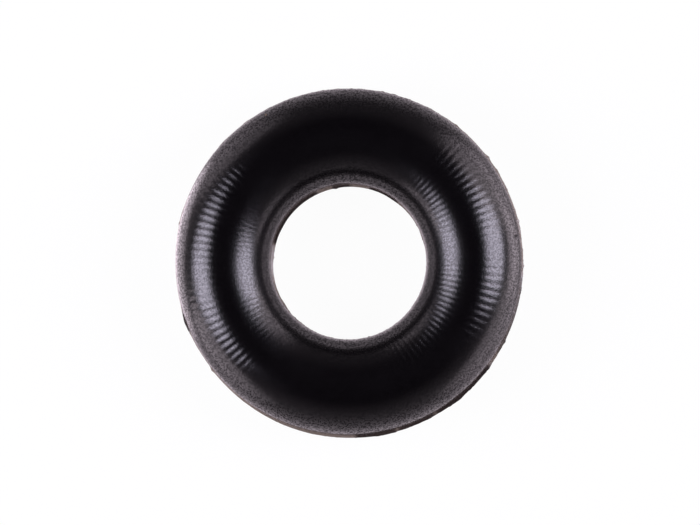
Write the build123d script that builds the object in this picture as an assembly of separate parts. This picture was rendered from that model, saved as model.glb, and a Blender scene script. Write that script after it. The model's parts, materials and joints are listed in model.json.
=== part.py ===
from build123d import *
import os
from math import cos, radians, sin

# Moulded rubber O-ring, lying flat. Millimetres, +Z up.
# Origin: centre of the ring, on the plane where the two mould halves met.

# driving dimensions
inner_diameter = 2.90  # bore of the free ring
section_diameter = 1.78  # thickness of the round cord
mould_offset = 0.046  # sideways step between the two mould halves
offset_direction = -57.0  # degrees from +X: the way the lower half has shifted
flash_projection = 0.012  # flash left standing past the edge of each mould half
flash_thickness = 0.030  # height of the flash at the parting plane

# sizes that follow
section_radius = section_diameter / 2
bore_radius = inner_diameter / 2
rim_radius = bore_radius + section_diameter
cord_centre_radius = bore_radius + section_radius
shift = Vector(cos(radians(offset_direction)), sin(radians(offset_direction))) * (mould_offset / 2)


def moulded_half(side, place):
    """One half of the ring, from the parting plane up (side 1) or down (side -1)."""
    with BuildPart() as half:
        with BuildSketch(Plane.XZ):
            with Locations((cord_centre_radius, 0)):
                Circle(section_radius)
            with Locations((cord_centre_radius, -side * section_diameter)):
                Rectangle(2 * section_diameter, 2 * section_diameter, mode=Mode.SUBTRACT)
        revolve(axis=Axis.Z)
    return half.part.moved(Location(place))


def flash_fin():
    """The thin fin that crept out between the mould halves, round both edges of the ring."""
    places = (-shift, shift)
    with BuildPart() as fin:
        with BuildSketch(Plane.XY.offset(-flash_thickness / 2)):
            with Locations(*places):
                Circle(rim_radius + flash_projection)
            with BuildSketch(mode=Mode.SUBTRACT):
                with Locations(places[0]):
                    Circle(bore_radius - flash_projection)
                with Locations(places[1]):
                    Circle(bore_radius - flash_projection, mode=Mode.INTERSECT)
        extrude(amount=flash_thickness)
    return fin.part


upper_half = moulded_half(1, -shift)
lower_half = moulded_half(-1, shift)
o_ring = upper_half + lower_half + flash_fin()

os.makedirs("parts", exist_ok=True)
export_step(o_ring, "parts/o_ring.step")
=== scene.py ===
import json
from math import cos, degrees, pi, radians, sin, tan

import bpy
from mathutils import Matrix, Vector


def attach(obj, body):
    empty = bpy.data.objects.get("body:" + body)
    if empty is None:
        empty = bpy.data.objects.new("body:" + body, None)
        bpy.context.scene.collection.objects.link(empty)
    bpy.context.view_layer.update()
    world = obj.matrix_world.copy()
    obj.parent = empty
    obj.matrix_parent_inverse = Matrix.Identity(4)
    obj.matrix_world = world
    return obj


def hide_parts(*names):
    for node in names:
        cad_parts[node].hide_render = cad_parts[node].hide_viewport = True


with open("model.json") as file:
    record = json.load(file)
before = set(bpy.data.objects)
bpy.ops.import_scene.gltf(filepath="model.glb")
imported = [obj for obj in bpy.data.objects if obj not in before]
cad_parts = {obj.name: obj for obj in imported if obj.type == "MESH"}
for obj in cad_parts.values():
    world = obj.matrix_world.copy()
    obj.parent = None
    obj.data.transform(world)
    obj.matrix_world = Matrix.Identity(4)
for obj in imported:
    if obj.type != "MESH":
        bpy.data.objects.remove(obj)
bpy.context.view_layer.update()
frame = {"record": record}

mounts = {mount["name"]: mount for mount in frame["record"]["mounts"]}


# node helpers

class Wire:  # an output socket that plain arithmetic can be written with
    def __init__(self, graph, socket):
        self.graph = graph
        self.socket = socket

    def __add__(self, other):
        return self.graph.maths("ADD", self, other)

    __radd__ = __add__

    def __sub__(self, other):
        return self.graph.maths("SUBTRACT", self, other)

    def __rsub__(self, other):
        return self.graph.maths("SUBTRACT", other, self)

    def __mul__(self, other):
        return self.graph.maths("MULTIPLY", self, other)

    __rmul__ = __mul__

    def __truediv__(self, other):
        return self.graph.maths("DIVIDE", self, other)

    def __rtruediv__(self, other):
        return self.graph.maths("DIVIDE", other, self)


class Graph:  # adds nodes to one tree
    def __init__(self, tree):
        self.tree = tree

    def node(self, kind, settings=None, values=None, output=0):
        made = self.tree.nodes.new(kind)
        for name, value in (settings or {}).items():
            if name == "stops":  # a ramp's levels, as (place, level)
                while len(made.color_ramp.elements) < len(value):
                    made.color_ramp.elements.new(0.5)
                for element, (place, level) in zip(made.color_ramp.elements, value):
                    element.position = place
                    element.color = (level, level, level, 1)
            else:
                setattr(made, name, value)
        for key, value in (values or {}).items():
            for part in value if isinstance(value, list) else [value]:
                if isinstance(part, Wire):
                    self.tree.links.new(part.socket, made.inputs[key])
                else:
                    made.inputs[key].default_value = part
        return Wire(self, made.outputs[output]) if made.outputs else None

    def outputs(self, kind, settings=None, values=None):  # the same, with every output by name
        made = self.node(kind, settings, values).socket.node
        return {output.name: Wire(self, output) for output in made.outputs}

    def maths(self, operation, *values):
        return self.node("ShaderNodeMath", {"operation": operation}, dict(enumerate(values)))

    def combine(self, x, y, z):
        return self.node("ShaderNodeCombineXYZ", None, {0: x, 1: y, 2: z})

    def split(self, vector):
        parts = self.outputs("ShaderNodeSeparateXYZ", None, {0: vector})
        return parts["X"], parts["Y"], parts["Z"]

    def smooth(self, value, low, high):  # 0 below low, 1 above high, an eased step between
        return self.node("ShaderNodeMapRange", {"interpolation_type": "SMOOTHSTEP"}, {
            "Value": value, "From Min": low, "From Max": high})

    def length(self, x, y):
        return self.maths("SQRT", x * x + y * y)

    def blend(self, first, second, share):
        return first + (second - first) * share

    def mixColours(self, first, second, share):
        return self.node("ShaderNodeMix", {"data_type": "RGBA"}, {0: share, 6: first, 7: second}, output=2)


# the ring

ring = {
    "azimuthSteps": 1200,
    "sectionSteps": 30,
    "halfStep": 23e-6,  # sideways shift of each mould half
    "stepDirection": radians(-57),  # the way the lower half has shifted
    "flashReach": 12e-6,  # as moulded
    "flashHeight": 30e-6,
    "flashWorn": 0.15,  # share of the reach left where the flash has rubbed off
    # stretches of it on the rim (1) and in the bore (-1): middle and half width in degrees, how much of the
    # reach still stands and how dark it is, the dark partly the flash's own brown and partly painted shade
    # of the parting line
    "flashStretches": {
        1: [
            (200, 4, 1, 0.8), (252, 34, 1, 0), (279, 7, 1, 1), (293, 7, 1, 0.85), (312, 12, 1, 1),
            # the stretch at 342 is painted shade of the parting line where only the worn flash stands
            (342, 14, 0, 0.6), (33, 24, 1, 0),
        ],
        -1: [(124, 96, 1, 0), (63, 12, 1, 1), (96, 7, 1, 1), (140, 26, 1, 1)],
    },
    "stretchEnds": 2,  # degrees over which such a stretch starts and ends
    "rootShade": {1: 0.2, -1: 0.45},  # how much paler a dark stretch is at its root
    "flashDroop": 0.8,  # how far its upper edge is rounded off where it isn't dark
    "flashRaggedness": 16e-6,
    "flashRoughScale": 22.0,  # noise cells over the ring's radius
    "flashRoughness": (0.45, 0.75),  # noise levels between which its edge goes from smooth to torn
    # where its edge is most torn, how much, and how far that changes around the ring
    "flashTorn": {1: (radians(15), 1.0), -1: (radians(-60), 0.7)},
    "flashTornSwing": 0.4,
    # torn and uneven places on the rim and in the bore: azimuth and width in degrees, extra reach in metres
    "tags": [
        (-1, 0.9, 16e-6), (-18, 9, -13e-6), (-27, 1.0, 18e-6), (-37, 0.8, 10e-6), (-51, 2.4, 16e-6),
        (-78, 7, 13e-6), (-108, 20, 7e-6), (-142, 1.0, 18e-6), (-155, 14, 13e-6), (-160, 2.2, 14e-6),
        (-193, 0.9, 12e-6), (-196, 5, 11e-6), (-213, 7, -5e-6), (-224, 2.2, 9e-6), (-234, 1.6, 9e-6),
        (-281, 0.9, 14e-6), (-298, 4, 8e-6), (-308, 0.8, 15e-6), (-323, 0.9, 16e-6), (-328, 5, 10e-6),
        (-346, 1.0, 12e-6),
    ],
    "boreTags": [
        (-130, 10, 10e-6), (-148, 5, 13e-6), (-184, 1.2, 10e-6), (-188, 14, 10e-6), (-208, 10, 6e-6),
        (-232, 40, 6e-6), (-260, 2.0, 16e-6), (-305, 8, 7e-6), (-340, 8, 14e-6),
    ],
    # chatter marks from the mould's cutting, in four stretches: side (1 the rim's slope, -1 the bore's),
    # middle and half width in degrees, half the height from hollow to ridge in metres, how much deeper
    # at the far end than in the middle, ribs to a whole turn at the middle, phase there and its bend
    "ribs": {
        "left": (1, 182, 43, 2.2e-6, 0.17, 130.5, 1.135, -0.28),
        "right": (1, 9, 41, 1.35e-6, 0.1, 124.0, 3.312, 1.6),
        "boreRight": (-1, -7, 57, 1.25e-6, -0.1, 121.9, 2.923, 1.55),
        "boreLeft": (-1, 187, 37, 0.45e-6, 0.38, 129.5, 4.507, -1.2),
    },
    "ribEnds": 4,  # degrees over which a stretch starts and ends
    "ribUnevenness": 0.3,
    "ribUnevenScale": 40.0,  # noise cells over the ring's radius
    "ribSlope": (0.1, 0.26, 0.45, 1.0),  # across the section: where ribs begin, are full, fade and end
    "mergeDistance": 0.1e-6,
    "sharpAngle": radians(40),
    "seed": 11,
}


def ringMeasures():
    rim = mounts["rim"]["dims"]["r_mm"] / 1000
    bore = mounts["bore"]["dims"]["r_mm"] / 1000
    return {
        "Ring Radius": (rim + bore) / 2,
        "Section Radius": (rim - bore) / 2 - ring["halfStep"] - ring["flashReach"],
        "Half Step": ring["halfStep"],
    }


def addInputs(tree, inputs):
    kinds = {float: "NodeSocketFloat", int: "NodeSocketInt"}
    for name, value in inputs.items():
        kind = kinds.get(type(value), "NodeSocketMaterial")
        socket = tree.interface.new_socket(name, in_out="INPUT", socket_type=kind)
        if kind != "NodeSocketMaterial":
            socket.default_value = value


def makeRingTree(inputs):
    tree = bpy.data.node_groups.new("mouldedRing", "GeometryNodeTree")
    addInputs(tree, inputs)
    tree.interface.new_socket("Geometry", in_out="OUTPUT", socket_type="NodeSocketGeometry")
    graph = Graph(tree)
    given = graph.outputs("NodeGroupInput")
    index = graph.node("GeometryNodeInputIndex")
    turns = given["Azimuth Steps"]
    ringRadius = given["Ring Radius"]
    sectionRadius = given["Section Radius"]
    halfStep = given["Half Step"]
    halfHeight = given["Flash Height"] / 2
    stepX = halfStep * graph.maths("COSINE", given["Step Direction"])
    stepY = halfStep * graph.maths("SINE", given["Step Direction"])
    edgeAngle = graph.maths("ARCSINE", halfHeight / sectionRadius)
    edgeOut = sectionRadius * graph.maths("COSINE", edgeAngle)

    # a grid wrapped once round the ring, each row at its own place in the section, with its share of flash
    def sheet(rows, place, shade):
        grid = graph.node("GeometryNodeMeshGrid", None, {"Vertices X": turns + 1, "Vertices Y": rows})
        along = graph.maths("FLOOR", (index + 0.5) / rows)
        row = index - along * rows
        azimuth = graph.maths("MODULO", along, turns) / turns * (2 * pi)
        position = place(azimuth, row, graph.maths("COSINE", azimuth), graph.maths("SINE", azimuth))
        placed = graph.node("GeometryNodeSetPosition", None, {"Geometry": grid, "Position": position})
        flash = graph.node("GeometryNodeFieldOnDomain", {"data_type": "FLOAT", "domain": "POINT"}, {
            0: shade(azimuth, row)})
        # kept at the face corners, so that merging the sheets doesn't blur it
        return graph.node("GeometryNodeStoreNamedAttribute", {"data_type": "FLOAT", "domain": "CORNER"}, {
            "Geometry": placed, "Name": "flash", "Value": flash})

    def ribHeight(azimuth, cosine, sine, lean, side):
        # waves across the ring, each a little deeper or shallower than the next
        uneven = graph.node("ShaderNodeTexNoise", {"noise_dimensions": "3D"}, {
            "Vector": graph.combine(cosine, sine, given["Seed"] + 3 * side),
            "Scale": ring["ribUnevenScale"], "Detail": 1.0})
        begin, full, fade, end = ring["ribSlope"]
        height = 0.0
        for slope, middle, halfWidth, depth, growth, count, phase, bend in ring["ribs"].values():
            away = graph.maths("WRAP", azimuth - radians(middle), pi, -pi)
            share = away / radians(halfWidth)
            wave = count * away + phase + bend * share * share
            across = slope * lean
            within = graph.smooth(across, begin, full) * (1 - graph.smooth(across, fade, end))
            start, stop = radians(halfWidth - ring["ribEnds"]), radians(halfWidth + ring["ribEnds"])
            ends = 1 - graph.smooth(graph.maths("ABSOLUTE", away), start, stop)
            height = graph.maths("COSINE", wave) * (1 + growth * share) * ends * within * depth + height
        return height * (1 + given["Rib Unevenness"] * (4 * uneven - 2))

    def half(side):  # side 1 is the upper mould half, -1 the lower
        def place(azimuth, row, cosine, sine):
            sweep = edgeAngle + (pi - 2 * edgeAngle) * row / given["Section Steps"]
            lift = graph.maths("SINE", sweep)
            lean = graph.maths("COSINE", sweep)
            reach = sectionRadius + ribHeight(azimuth, cosine, sine, lean, side)
            out = ringRadius + reach * lean
            x = out * cosine - side * stepX
            y = out * sine - side * stepY
            return graph.combine(x, y, side * lift * reach)
        return sheet(given["Section Steps"] + 1, place, lambda azimuth, row: 0.0)

    def flashState(azimuth, side):  # how much of the flash stands and how dark it is, the dark partly painted shade of the parting line
        stands = 0.0
        dark = 0.0
        for middle, width, standing, shade in ring["flashStretches"][side]:
            away = graph.maths("ABSOLUTE", graph.maths("WRAP", azimuth - radians(middle), pi, -pi))
            start, stop = radians(width - ring["stretchEnds"]), radians(width + ring["stretchEnds"])
            near = 1 - graph.smooth(away, start, stop)
            stands = graph.maths("MAXIMUM", near * standing, stands)
            dark = graph.maths("MAXIMUM", near * shade, dark)
        return stands, dark

    def fin(side):  # side 1 is the rim, -1 the bore
        def place(azimuth, row, cosine, sine):
            offAxis = azimuth - given["Step Direction"]
            rough = graph.node("ShaderNodeTexNoise", {"noise_dimensions": "3D"}, {
                "Vector": graph.combine(cosine, sine, given["Seed"] + side),
                "Scale": ring["flashRoughScale"], "Detail": 3.0, "Roughness": 0.65})
            tornSide, tornShare = ring["flashTorn"][side]
            swing = ring["flashTornSwing"]
            torn = tornShare * (1 - swing + swing * graph.maths("COSINE", azimuth - tornSide))
            ragged = graph.smooth(rough, *ring["flashRoughness"]) * torn * given["Flash Raggedness"]
            stands, dark = flashState(azimuth, side)
            kept = ring["flashWorn"] + (1 - ring["flashWorn"]) * stands
            wall = ringRadius + side * (sectionRadius + given["Flash Reach"] * kept + ragged)
            for middle, width, height in ring["tags"] if side == 1 else ring["boreTags"]:
                away = 2 * graph.maths("SINE", (azimuth - radians(middle)) / 2) / radians(width)
                peak = 1 / (1 + away * away)
                wall = wall + side * height * (peak * peak)
            across = halfStep * graph.maths("SINE", offAxis)
            chord = graph.maths("SQRT", wall * wall - across * across)
            reach = chord + side * halfStep * graph.maths("ABSOLUTE", graph.maths("COSINE", offAxis))
            # rows 0 to 3: the upper half's edge, the fin's upper and lower edges, the lower half's edge
            upper = graph.maths("LESS_THAN", row, 1.5)
            above = 2 * upper - 1
            onFin = graph.maths("COMPARE", row, 1.5, 0.6)
            onHalf = 1 - onFin
            edge = ringRadius + side * edgeOut
            x = onFin * reach * cosine + onHalf * (edge * cosine - above * stepX)
            y = onFin * reach * sine + onHalf * (edge * sine - above * stepY)
            droop = onFin * upper * (1 - dark) * (2 * ring["flashDroop"])
            return graph.combine(x, y, (above - droop) * halfHeight)

        def shade(azimuth, row):  # half on pale worn flash, whole on dark, the dark partly painted shade of the parting line
            dark = flashState(azimuth, side)[1]
            root = graph.maths("LESS_THAN", row, 0.5)
            return 0.5 + 0.5 * dark * (1 - root * ring["rootShade"][side])
        return sheet(4, place, shade)

    def turned(mesh):
        return graph.node("GeometryNodeFlipFaces", None, {"Mesh": mesh})

    sheets = [half(1), turned(half(-1)), turned(fin(1)), fin(-1)]
    whole = graph.node("GeometryNodeJoinGeometry", None, {0: sheets})
    closed = graph.node("GeometryNodeMergeByDistance", None, {
        "Geometry": whole, "Distance": ring["mergeDistance"]})
    bend = graph.node("GeometryNodeInputMeshEdgeAngle")
    gentle = graph.node("FunctionNodeCompare", {"operation": "LESS_THAN"}, {
        0: bend, 1: ring["sharpAngle"]})
    even = graph.node("GeometryNodeSetShadeSmooth", {"domain": "FACE"}, {
        "Geometry": closed, "Shade Smooth": True})
    shaded = graph.node("GeometryNodeSetShadeSmooth", {"domain": "EDGE"}, {
        "Geometry": even, "Shade Smooth": gentle})
    real = graph.node("GeometryNodeRealizeInstances", None, {"Geometry": shaded})
    dressed = graph.node("GeometryNodeSetMaterial", None, {
        "Geometry": real, "Material": given["Material"]})
    graph.node("NodeGroupOutput", None, {"Geometry": dressed})
    return tree


def growMesh(name, tree, inputs):  # runs a tree once and keeps its result as a plain mesh
    holder = bpy.data.objects.new(name, bpy.data.meshes.new(name + "Start"))
    bpy.context.scene.collection.objects.link(holder)
    modifier = holder.modifiers.new("grow", "NODES")
    modifier.node_group = tree
    sockets = {item.name: item.identifier for item in tree.interface.items_tree if item.in_out == "INPUT"}
    for key, value in inputs.items():
        modifier[sockets[key]] = value
    graph = bpy.context.evaluated_depsgraph_get()
    grown = bpy.data.meshes.new_from_object(holder.evaluated_get(graph))
    holder.modifiers.remove(modifier)
    holder.data = grown
    grown.name = name
    return holder


# rubber

rubber = {
    "colour": (0.002, 0.0016, 0.002, 1),
    # the flash's own brown, also used as painted shade along the parting line
    "flashColour": (0.03, 0.021, 0.017, 1),
    "wornColour": (0.19, 0.155, 0.125, 1),
    "lipWearAndSheenColour": (0.078, 0.065, 0.059, 1),  # beside the parting line on the rim: partly a worn edge, partly painted sheen
    # the bore's lip: painted sheen of its grazing edge, partly a worn edge
    "boreLipWearAndSheenColour": (0.24, 0.21, 0.2, 1),
    "boreLipSheenSide": (-1.3e-3, 0.2e-3),  # from here to there along X the bore's lip gets paler: painted sheen, stronger towards +X
    "boreLipSheenLeast": 0.3,
    "lipWearAndSheenHeight": (0.03e-3, 0.3e-3),
    "refraction": 1.6,
    "roughness": 0.172,
    "roughnessDrift": 0.08,  # slow change over the surface
    "flashRoughness": 0.2,  # added on the flash
    "boreRoughness": 0.035,  # added on the bore's side
    "boreSide": (2.1e-3, 2.55e-3),  # distances from the axis
    "darkFlashShares": (0.6, 0.9),  # shares of flash between which its pale worn colour goes over to its own dark one, partly painted shade of the parting line
    "flashFrom": 0.4,  # share of flash from which a place has the flash's colours
    "grain": 30e-6,  # size of the grain
    "grainDepth": 3e-6,
    "cloud": 0.42e-3,  # size of the slow changes
    # how much of the gloss the deepest pits take away: everywhere, on the flanks, at both ends of Y
    "pits": (0.34, 0.3, 0.2),
    "pitEdges": (0.34, 0.66),
    "pitRefraction": 1.15,
    "pitRoughness": 0.6,
    "flank": (0.5e-3, 0.85e-3),  # heights over the parting line
    "pitSize": 33e-6,
    "drawn": 0.55,  # the grain is drawn out along the way the mould opens
    "marks": [  # on the upper side: place, radius, colour, gloss kept
        (-1.553e-3, 2.756e-3, 22e-6, (0.12, 0.085, 0.055, 1), 0.3),
        (3.1e-3, 0.5e-3, 30e-6, (0.002, 0.0016, 0.002, 1), 0.1),
    ],
    "markEdge": (0.6, 1.3),  # in its radius
}


def makeRubber():
    material = bpy.data.materials.new("blackRubber")
    material.use_nodes = True
    material.node_tree.nodes.clear()
    graph = Graph(material.node_tree)
    place = graph.outputs("ShaderNodeTexCoord")["Object"]
    x, y, z = graph.split(place)
    drawn = graph.combine(x, y, z * rubber["drawn"])
    grain = graph.node("ShaderNodeTexNoise", None, {
        "Vector": drawn, "Scale": 1 / rubber["grain"], "Detail": 2.0, "Roughness": 0.6})
    pits = graph.node("ShaderNodeTexNoise", None, {
        "Vector": drawn, "Scale": 1 / rubber["pitSize"], "Detail": 1.0})
    cloud = graph.node("ShaderNodeTexNoise", None, {
        "Vector": place, "Scale": 1 / rubber["cloud"], "Detail": 3.0})
    bump = graph.node("ShaderNodeBump", None, {
        "Strength": 1.0, "Distance": rubber["grainDepth"], "Height": grain})
    flash = graph.outputs("ShaderNodeAttribute", {"attribute_name": "flash"})["Fac"]
    darkFlashShare = graph.smooth(flash, *rubber["darkFlashShares"])
    flashColour = graph.mixColours(rubber["wornColour"], rubber["flashColour"], darkFlashShare)
    height = graph.maths("ABSOLUTE", z)
    away = graph.length(x, y)
    inBore = 1 - graph.smooth(away, *rubber["boreSide"])
    # painted sheen on the lip beside the parting line, partly a worn edge; paler in the bore, and more so
    # towards +X
    pale = inBore * graph.blend(rubber["boreLipSheenLeast"], 1.0, graph.smooth(x, *rubber["boreLipSheenSide"]))
    lipWearAndSheenColour = graph.mixColours(rubber["lipWearAndSheenColour"], rubber["boreLipWearAndSheenColour"], pale)
    fromLip = graph.smooth(height, *rubber["lipWearAndSheenHeight"])
    ringColour = graph.mixColours(lipWearAndSheenColour, rubber["colour"], fromLip)
    onFlash = graph.maths("GREATER_THAN", flash, rubber["flashFrom"])
    colour = graph.mixColours(ringColour, flashColour, onFlash)
    flank = 1 - graph.smooth(height, *rubber["flank"])
    least, onFlank, atEnds = rubber["pits"]
    share = least + onFlank * flank + atEnds * (y * y) / (away * away)
    dull = graph.smooth(pits, *rubber["pitEdges"]) * share
    for markX, markY, radius, markColour, gloss in rubber["marks"]:
        fromMark = graph.length(x - markX, y - markY) / radius
        inMark = (1 - graph.smooth(fromMark, *rubber["markEdge"])) * graph.maths("GREATER_THAN", z, 0.0)
        colour = graph.mixColours(colour, markColour, inMark)
        dull = graph.blend(dull, 1 - gloss, inMark)
    roughness = rubber["roughness"] + rubber["boreRoughness"] * inBore
    roughness = roughness + rubber["roughnessDrift"] * (cloud - 0.5) + rubber["flashRoughness"] * flash
    glossy = graph.node("ShaderNodeBsdfPrincipled", None, {
        "Base Color": colour, "Roughness": roughness, "Normal": bump, "IOR": rubber["refraction"]})
    matt = graph.node("ShaderNodeBsdfPrincipled", None, {
        "Base Color": colour, "Roughness": rubber["pitRoughness"], "IOR": rubber["pitRefraction"]})
    shader = graph.node("ShaderNodeMixShader", None, {0: dull, 1: glossy, 2: matt})
    graph.node("ShaderNodeOutputMaterial", None, {"Surface": shader})
    return material


# light, floor and camera

studio = {
    "ambient": (0.12, 0.12, 0.12, 1),
    "lampDistance": 0.06,
    "lampSpan": 1.15,  # half the side of a lamp's panel, as a share of its distance
    "lampColour": (1.0, 0.94, 1.13),
    # what shines of each panel, in degrees as seen from the ring: its middle and half size, how square its
    # corners are, where its edge fades (in half sizes), where it is cut off above (height, tilt, softness),
    # its brightest place (azimuth, height, reach) and the share left away from there
    "lamps": {
        "softboxRight": {
            "middle": (6, 36.8), "halfSize": (21.2, 25.6), "power": 2.5, "edge": (0.74, 1.08),
            "top": (70, 0, 4), "radiance": 7.85, "glow": (7, 38, 60), "dim": 0.3,
        },
        "softboxLeft": {
            "middle": (184.5, 50), "halfSize": (38, 42), "power": 1.8, "edge": (0.84, 1.06),
            "top": (52.5, 0.08, 2.2), "radiance": 8.4, "glow": (187, 34, 42), "dim": 0.2,
        },
    },
    # what the gloss sees of the room, by degrees above or below the horizon
    "roomSouth": [
        (-85, 1.4), (-60, 1.05), (-40, 1.15), (-20, 0.78), (0, 0.5), (15, 0.3), (30, 0.16), (50, 0.0),
    ],
    "roomNorth": [
        (-85, 1.05), (-60, 0.75), (-40, 0.8), (-20, 0.5), (0, 0.18), (15, 0.15), (30, 0.1), (50, 0.0),
    ],
    # reflector cards: azimuth, height, half width, half height in degrees, level (below 0 on a dark one),
    # how much brighter towards its end, softness of the edge, roll in degrees
    "cards": {
        "leftFar": (136, -4, 19, 27, 0.85, 0.4, 0.2, 20),
        "leftNear": (217, -4, 23, 23, 1.85, -0.6, 0.15, -14),
        "leftLow": (176, -47, 31, 28, 1.85, -0.3, 0.15, -6),
        "rightHigh": (33, 7, 18, 36, 1.95, -0.2, 0.3, 0),
        "rightLow": (5, -17, 17, 15, 2.45, 0.0, 0.3, 0),
        "rightNear": (330, -6, 24, 21, 1.25, 0.3, 0.3, 10),
        "rightFoot": (3, -37, 27, 13, 0.8, 0.0, 0.3, 0),
        "rightFlag": (-3, -65, 27, 14, -0.45, 0.0, 0.25, 0),
    },
    "roomColour": (1.0, 0.87, 0.97),
    "boreFloorShadow": (0.45, 400),  # level the gloss sees on the floor inside the bore at its middle, kept low as painted shadow of the ring, and its rise in a metre
    "floorSize": 0.5,
    "floorColour": (0.93, 0.93, 0.93, 1),
    # where on its flank the ring sees the floor, in section radii: out from the section's middle, over the
    # floor, and the least run from there to the floor's place, as a share of that height
    "flankReach": 0.8,
    "flankHeight": 1.55,
    "flankLeastRun": 0.02,
    "underRing": (1.5e-3, 3e-3),  # from the bore's floor to the floor outside
    "shadowShare": 0.04,
    "shadowFade": (5e-3, 20e-3),
}


def turnAndRise(graph, x, y, z):  # of a direction, in degrees
    rise = graph.maths("ARCTAN2", z, graph.length(x, y))
    return graph.maths("ARCTAN2", y, x) * degrees(1), rise * degrees(1)


def addSoftbox(name, lamp):
    distance = studio["lampDistance"]
    azimuth, height = map(radians, lamp["middle"])
    toLamp = Vector((cos(azimuth), sin(azimuth), tan(height))).normalized()
    data = bpy.data.lights.new(name, "AREA")
    data.shape = "SQUARE"
    data.size = 2 * distance * studio["lampSpan"]
    data.energy = lamp["radiance"] * pi * data.size * data.size
    data.color = studio["lampColour"]
    data.use_nodes = True
    data.node_tree.nodes.clear()
    graph = Graph(data.node_tree)
    place = graph.outputs("ShaderNodeNewGeometry")["Position"]
    turn, rise = turnAndRise(graph, *graph.split(place))
    across = graph.maths("WRAP", turn - lamp["middle"][0], 180, -180)
    shape = 0.0
    for offset, halfSize in zip((across, rise - lamp["middle"][1]), lamp["halfSize"]):
        share = graph.maths("ABSOLUTE", offset / halfSize)
        shape = graph.maths("POWER", share, lamp["power"]) + shape
    shape = graph.maths("POWER", shape, 1 / lamp["power"])
    top, tilt, soft = lamp["top"]
    above = rise - top - tilt * across
    glowTurn, glowRise, glow = lamp["glow"]
    glowAcross = across + (lamp["middle"][0] - glowTurn)
    glowing = graph.length(glowAcross, rise - glowRise) / glow
    level = (1 - graph.smooth(shape, *lamp["edge"])) * (1 - graph.smooth(above, -soft, soft))
    level = level * (1 - (1 - lamp["dim"]) * graph.smooth(glowing, 0.0, 1.0))
    light = graph.node("ShaderNodeEmission", None, {"Strength": level})
    graph.node("ShaderNodeOutputLight", None, {"Surface": light})
    lampObject = bpy.data.objects.new(name, data)
    lampObject.location = toLamp * distance
    lampObject.rotation_euler = toLamp.to_track_quat("Z", "Y").to_euler()
    lampObject.visible_camera = False
    bpy.context.scene.collection.objects.link(lampObject)


def rampPlace(rise):  # from -90 to 90 degrees onto 0 to 1
    return rise / 180 + 0.5


def roomLevel(graph, x, y, rise):  # rise is in degrees over the horizon, less than 0 on the floor
    turn = graph.maths("ARCTAN2", y, x)
    place = rampPlace(rise)
    levels = []
    for side in ("roomNorth", "roomSouth"):
        stops = [(rampPlace(height), level) for height, level in studio[side]]
        ramp = graph.node("ShaderNodeValToRGB", {"stops": stops}, {"Fac": place})
        levels.append(graph.node("ShaderNodeRGBToBW", None, {0: ramp}))
    level = graph.blend(*levels, 0.5 - 0.5 * graph.maths("SINE", turn))
    for azimuth, height, halfWidth, halfHeight, bright, growth, soft, roll in studio["cards"].values():
        across = graph.maths("WRAP", turn * degrees(1) - azimuth, 180, -180)
        up = rise - height
        u = (across * cos(radians(roll)) + up * sin(radians(roll))) / halfWidth
        v = (up * cos(radians(roll)) - across * sin(radians(roll))) / halfHeight
        inside = 1 - graph.smooth(graph.length(u, v), 1 - soft, 1 + soft)
        level = level + inside * (1 + growth * u) * bright
    return level


def tinted(graph, level):
    red, green, blue = studio["roomColour"]
    return graph.combine(level * red, level * green, level * blue)


def lightPaths(graph):
    paths = graph.outputs("ShaderNodeLightPath")
    seen = graph.maths("MAXIMUM", paths["Is Camera Ray"], paths["Is Transmission Ray"])
    return seen, paths["Is Glossy Ray"]


def makeWorld():
    world = bpy.data.worlds.new("studio")
    world.use_nodes = True
    world.cycles.sampling_method = "NONE"
    bpy.context.scene.world = world
    world.node_tree.nodes.clear()
    graph = Graph(world.node_tree)
    x, y, z = graph.split(graph.outputs("ShaderNodeTexCoord")["Generated"])
    level = roomLevel(graph, x, y, graph.maths("ARCSINE", z) * degrees(1))
    seen, inGloss = lightPaths(graph)
    ambient = graph.node("ShaderNodeBackground", None, {"Color": studio["ambient"]})
    gloss = graph.node("ShaderNodeBackground", None, {"Color": tinted(graph, level)})
    white = graph.node("ShaderNodeBackground", None, {"Color": (1, 1, 1, 1)})
    unseen = graph.node("ShaderNodeMixShader", None, {0: inGloss, 1: ambient, 2: gloss})
    shown = graph.node("ShaderNodeMixShader", None, {0: seen, 1: unseen, 2: white})
    graph.node("ShaderNodeOutputWorld", None, {"Surface": shown})


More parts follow.
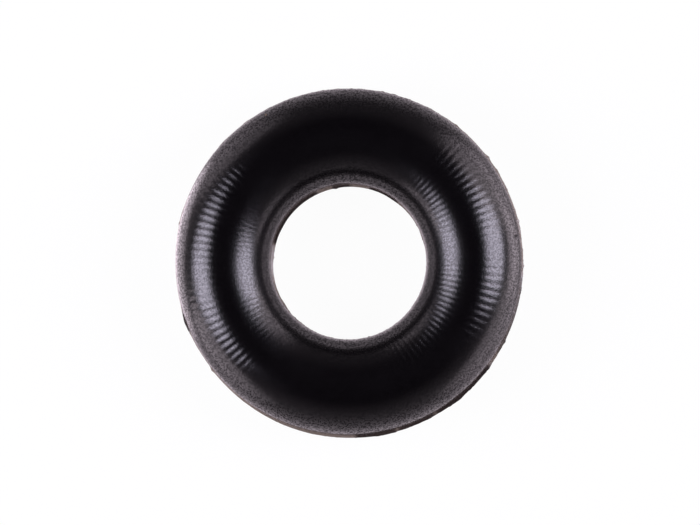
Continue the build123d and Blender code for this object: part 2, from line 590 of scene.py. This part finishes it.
def makeFloorMaterial():
    material = bpy.data.materials.new("paleFloor")
    material.use_nodes = True
    material.cycles.emission_sampling = "NONE"
    material.node_tree.nodes.clear()
    graph = Graph(material.node_tree)
    x, y = graph.split(graph.outputs("ShaderNodeTexCoord")["Object"])[:2]
    away = graph.length(x, y)
    # how steeply the ring's flank looks down on each place
    flank = ringMeasures()["Ring Radius"] + studio["flankReach"] * ringMeasures()["Section Radius"]
    drop = studio["flankHeight"] * ringMeasures()["Section Radius"]
    fromFlank = graph.maths("MAXIMUM", away - flank, studio["flankLeastRun"] * drop)
    rise = graph.maths("ARCTANGENT", drop / fromFlank) * degrees(-1)
    beyond = graph.smooth(away, *studio["underRing"])
    middleLevel, growth = studio["boreFloorShadow"]
    level = graph.blend(middleLevel + growth * away, roomLevel(graph, x, y, rise), beyond)
    seen, inGloss = lightPaths(graph)
    matt = graph.node("ShaderNodeBsdfDiffuse", None, {"Color": studio["floorColour"]})
    white = graph.node("ShaderNodeEmission", None, {"Color": (1, 1, 1, 1)})
    # for glossy rays the floor glows with painted light: the room's levels and cards, and inside the bore
    # the painted shadow of the ring
    gloss = graph.node("ShaderNodeEmission", None, {"Color": tinted(graph, level)})
    share = studio["shadowShare"] * (1 - graph.smooth(away, *studio["shadowFade"]))
    shownWhite = graph.node("ShaderNodeMixShader", None, {0: share, 1: white, 2: matt})
    unseen = graph.node("ShaderNodeMixShader", None, {0: inGloss, 1: matt, 2: gloss})
    shown = graph.node("ShaderNodeMixShader", None, {0: seen, 1: unseen, 2: shownWhite})
    graph.node("ShaderNodeOutputMaterial", None, {"Surface": shown})
    return material


def makeFloor(height):
    size = studio["floorSize"]
    mesh = bpy.data.meshes.new("floor")
    corners = [(x * size, y * size, height) for x, y in ((-1, -1), (1, -1), (1, 1), (-1, 1))]
    mesh.from_pydata(corners, [], [(0, 1, 2, 3)])
    mesh.materials.append(makeFloorMaterial())
    floor = bpy.data.objects.new("floor", mesh)
    bpy.context.scene.collection.objects.link(floor)


camera = {
    "distance": 0.15,
    "fieldWidth": 13.055e-3,
    "aim": (0.013e-3, 0.006e-3),
    "sensor": 36,
}


def makeCamera():
    data = bpy.data.cameras.new("camera")
    data.sensor_width = camera["sensor"]
    data.lens = camera["sensor"] * camera["distance"] / camera["fieldWidth"]
    data.clip_start = camera["distance"] / 10
    eye = bpy.data.objects.new("camera", data)
    eye.location = (camera["aim"][0], camera["aim"][1], camera["distance"])
    bpy.context.scene.collection.objects.link(eye)
    bpy.context.scene.camera = eye


print("camera, lamps and floor")
bpy.context.scene.view_settings.view_transform = "Standard"
makeCamera()
makeWorld()
makeFloor(-ringMeasures()["Section Radius"])
for name, settings in studio["lamps"].items():
    addSoftbox(name, settings)

print("ring")
black = makeRubber()
ringInputs = {
    **ringMeasures(),
    "Step Direction": ring["stepDirection"],
    "Flash Reach": ring["flashReach"],
    "Flash Height": ring["flashHeight"],
    "Flash Raggedness": ring["flashRaggedness"],
    "Azimuth Steps": ring["azimuthSteps"],
    "Section Steps": ring["sectionSteps"],
    "Rib Unevenness": ring["ribUnevenness"],
    "Seed": ring["seed"],
    "Material": black,
}
ringPiece = growMesh("rubberRing", makeRingTree(ringInputs), ringInputs)
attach(ringPiece, "root")
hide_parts("o_ring")
